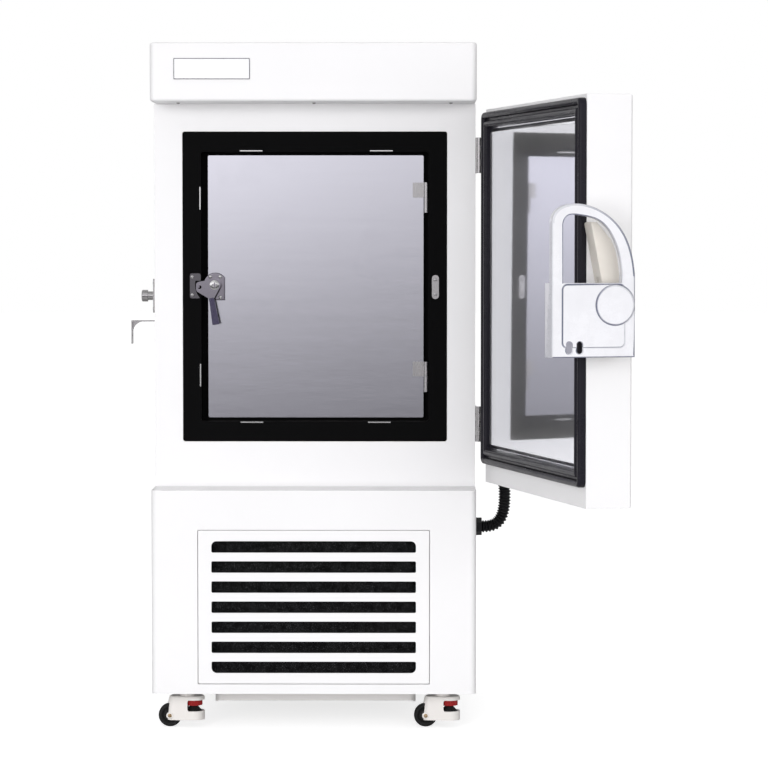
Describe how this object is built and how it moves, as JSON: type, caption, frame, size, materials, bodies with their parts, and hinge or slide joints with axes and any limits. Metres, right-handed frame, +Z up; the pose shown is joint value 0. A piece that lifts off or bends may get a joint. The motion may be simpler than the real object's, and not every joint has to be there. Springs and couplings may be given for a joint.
{
  "type": "ultra low temperature freezer",
  "caption": "Upright insulated freezer cabinet with a thick hinged outer door, a latched inner door, a shelved steel chamber, a slotted grille over its machine bay and casters.",
  "frame": {"origin": "on the floor under the middle of the cabinet, the outer door and its handle left out", "axes": "+Z up, +X towards the hinge side (the viewer's right), -Y towards the front"},
  "size_m": [1.0146, 1.3583, 1.441],
  "materials": {
    "body_white": "satin powder coat, near white",
    "door_white": "satin powder coat, near white",
    "insulation": "rigid foam, fine cell",
    "frame_black": "black moulding, fine texture",
    "stainless_liner": "bright rolled stainless",
    "stainless_door": "fine horizontal brushing",
    "copper": "dull copper tube",
    "gasket_charcoal": "soft charcoal extrusion",
    "silicone_grey": "soft grey strip",
    "handle_white": "satin white moulding",
    "handle_beige": "beige moulding",
    "zinc": "bright plated steel",
    "hinge_steel": "satin steel",
    "latch_metal": "satin chromed casting",
    "grip_black": "black grip",
    "grille_white": "satin powder coat, near white",
    "filter_mesh": "open black mesh",
    "aluminium_fins": "thin fins",
    "galvanised": "galvanised sheet",
    "pan_beige": "beige paint",
    "compressor_black": "gloss black enamel",
    "foam_sleeve": "closed cell sleeve",
    "panel_dark": "smooth dark membrane",
    "motor_grey": "grey paint",
    "inlet_black": "black moulding",
    "caster_ivory": "ivory enamel",
    "tyre_black": "black tread",
    "thumbwheel_red": "red moulding",
    "pad_black": "black rubber",
    "hose_grey": "ribbed dark grey conduit",
    "gland_black": "black moulding"
  },
  "bodies": {
    "cabinet": {"lower_housing": "body_white", "cabinet_shell": "body_white", "header_housing": "body_white", "cabinet_foam": "insulation", "throat_frame": "frame_black", "inner_tank": "stainless_liner", "evaporator_coil": "copper", "shelves": "stainless_liner", "shelf_supports": "stainless_liner", "outer_hinges": "hinge_steel", "door_strike": "zinc", "lock_bracket": "zinc", "inner_hinge_leaves": "hinge_steel", "latch_keeper": "latch_metal", "air_filter": "filter_mesh", "condenser_coil": "aluminium_fins", "fan_shroud": "galvanised", "fan_motor": "motor_grey", "base_pan": "pan_beige", "cascade_exchanger": "foam_sleeve", "refrigerant_tubes": "copper", "control_box": "galvanised", "rear_cover": "body_white", "power_inlet": "inlet_black", "caster_plates": "zinc", "hose_fitting_lower": "gland_black", "conduit_hose": "hose_grey", "compressor_high_stage": "compressor_black", "compressor_low_stage": "compressor_black"},
    "outer_door": {"door_shell": "door_white", "door_foam": "insulation", "door_liner": "stainless_liner", "door_gasket": "gasket_charcoal", "door_hinge_leaves": "hinge_steel", "handle_base": "handle_beige", "control_panel": "panel_dark", "hose_fitting_upper": "gland_black"},
    "door_handle": {"handle_lever": "handle_white", "handle_cover": "handle_white", "latch_hook": "zinc"},
    "inner_door": {"inner_door_panel": "stainless_door", "inner_door_seal": "silicone_grey", "inner_door_hinges": "hinge_steel", "latch_base": "latch_metal"},
    "inner_latch": {"latch_lever": "latch_metal", "latch_grip": "grip_black"},
    "grille": {"grille_panel": "grille_white"},
    "fan": {"fan_blades": "inlet_black"},
    "caster_front_left": {"caster_front_left_housing": "caster_ivory"},
    "caster_front_left_wheel_body": {"caster_front_left_wheel": "tyre_black"},
    "caster_front_left_nut": {"caster_front_left_thumbwheel": "thumbwheel_red"},
    "caster_front_left_foot": {"caster_front_left_pad": "pad_black"},
    "caster_front_right": {"caster_front_right_housing": "caster_ivory"},
    "caster_front_right_wheel_body": {"caster_front_right_wheel": "tyre_black"},
    "caster_front_right_nut": {"caster_front_right_thumbwheel": "thumbwheel_red"},
    "caster_front_right_foot": {"caster_front_right_pad": "pad_black"},
    "caster_rear_left": {"caster_rear_left_housing": "caster_ivory"},
    "caster_rear_left_wheel_body": {"caster_rear_left_wheel": "tyre_black"},
    "caster_rear_right": {"caster_rear_right_housing": "caster_ivory"},
    "caster_rear_right_wheel_body": {"caster_rear_right_wheel": "tyre_black"}
  },
  "joints": [
    {"name": "outer_door_hinge", "type": "hinge", "parent": "cabinet", "child": "outer_door", "pos_m": [0.348, -0.243, 0.9255], "axis": [0, 0, 1], "range_deg": [-104.8, 15], "deforming": ["conduit_hose"]},
    {"name": "door_handle_turn", "type": "hinge", "parent": "outer_door", "child": "door_handle", "pos_m": [0.5604, -0.8911, 0.9077], "axis": [-0.2554, 0.9668, 0], "range_deg": [-10, 0]},
    {"name": "inner_door_hinge", "type": "hinge", "parent": "cabinet", "child": "inner_door", "pos_m": [0.2358, -0.232, 0.932], "axis": [0, 0, 1], "range_deg": [0, 100]},
    {"name": "inner_latch_turn", "type": "hinge", "parent": "inner_door", "child": "inner_latch", "pos_m": [-0.2124, -0.238, 0.936], "axis": [0, -1, 0], "range_deg": [0, 60]},
    {"name": "grille_pull", "type": "slide", "parent": "cabinet", "child": "grille", "axis": [0, -1, 0], "range_m": [0, 0.04]},
    {"name": "fan_spin", "type": "hinge", "parent": "cabinet", "child": "fan", "pos_m": [0, -0.261, 0.2632], "axis": [0, 1, 0], "continuous": true},
    {"name": "caster_front_left_swivel", "type": "hinge", "parent": "cabinet", "child": "caster_front_left", "pos_m": [-0.271, -0.27, 0.0665], "axis": [0, 0, 1], "continuous": true},
    {"name": "caster_front_left_roll", "type": "hinge", "parent": "caster_front_left", "child": "caster_front_left_wheel_body", "pos_m": [-0.307, -0.27, 0.0246], "axis": [0, 1, 0], "continuous": true},
    {"name": "caster_front_left_nut_turn", "type": "hinge", "parent": "caster_front_left", "child": "caster_front_left_nut", "pos_m": [-0.257, -0.27, 0.0512], "axis": [0, 0, 1], "range_deg": [0, 2450]},
    {"name": "caster_front_left_foot_travel", "type": "slide", "parent": "caster_front_left", "child": "caster_front_left_foot", "axis": [0, 0, -1], "range_m": [0, 0.012]},
    {"name": "caster_front_right_swivel", "type": "hinge", "parent": "cabinet", "child": "caster_front_right", "pos_m": [0.271, -0.27, 0.0665], "axis": [0, 0, 1], "continuous": true},
    {"name": "caster_front_right_roll", "type": "hinge", "parent": "caster_front_right", "child": "caster_front_right_wheel_body", "pos_m": [0.235, -0.27, 0.0246], "axis": [0, 1, 0], "continuous": true},
    {"name": "caster_front_right_nut_turn", "type": "hinge", "parent": "caster_front_right", "child": "caster_front_right_nut", "pos_m": [0.285, -0.27, 0.0512], "axis": [0, 0, 1], "range_deg": [0, 2450]},
    {"name": "caster_front_right_foot_travel", "type": "slide", "parent": "caster_front_right", "child": "caster_front_right_foot", "axis": [0, 0, -1], "range_m": [0, 0.012]},
    {"name": "caster_rear_left_swivel", "type": "hinge", "parent": "cabinet", "child": "caster_rear_left", "pos_m": [-0.271, 0.27, 0.0665], "axis": [0, 0, 1], "continuous": true},
    {"name": "caster_rear_left_roll", "type": "hinge", "parent": "caster_rear_left", "child": "caster_rear_left_wheel_body", "pos_m": [-0.307, 0.27, 0.0246], "axis": [0, 1, 0], "continuous": true},
    {"name": "caster_rear_right_swivel", "type": "hinge", "parent": "cabinet", "child": "caster_rear_right", "pos_m": [0.271, 0.27, 0.0665], "axis": [0, 0, 1], "continuous": true},
    {"name": "caster_rear_right_roll", "type": "hinge", "parent": "caster_rear_right", "child": "caster_rear_right_wheel_body", "pos_m": [0.235, 0.27, 0.0246], "axis": [0, 1, 0], "continuous": true}
  ],
  "couplings": [
    {"joint": "caster_front_left_foot_travel", "follows": "caster_front_left_nut_turn", "m_per_rad": 0.00027852},
    {"joint": "caster_front_right_foot_travel", "follows": "caster_front_right_nut_turn", "m_per_rad": 0.00027852}
  ]
}
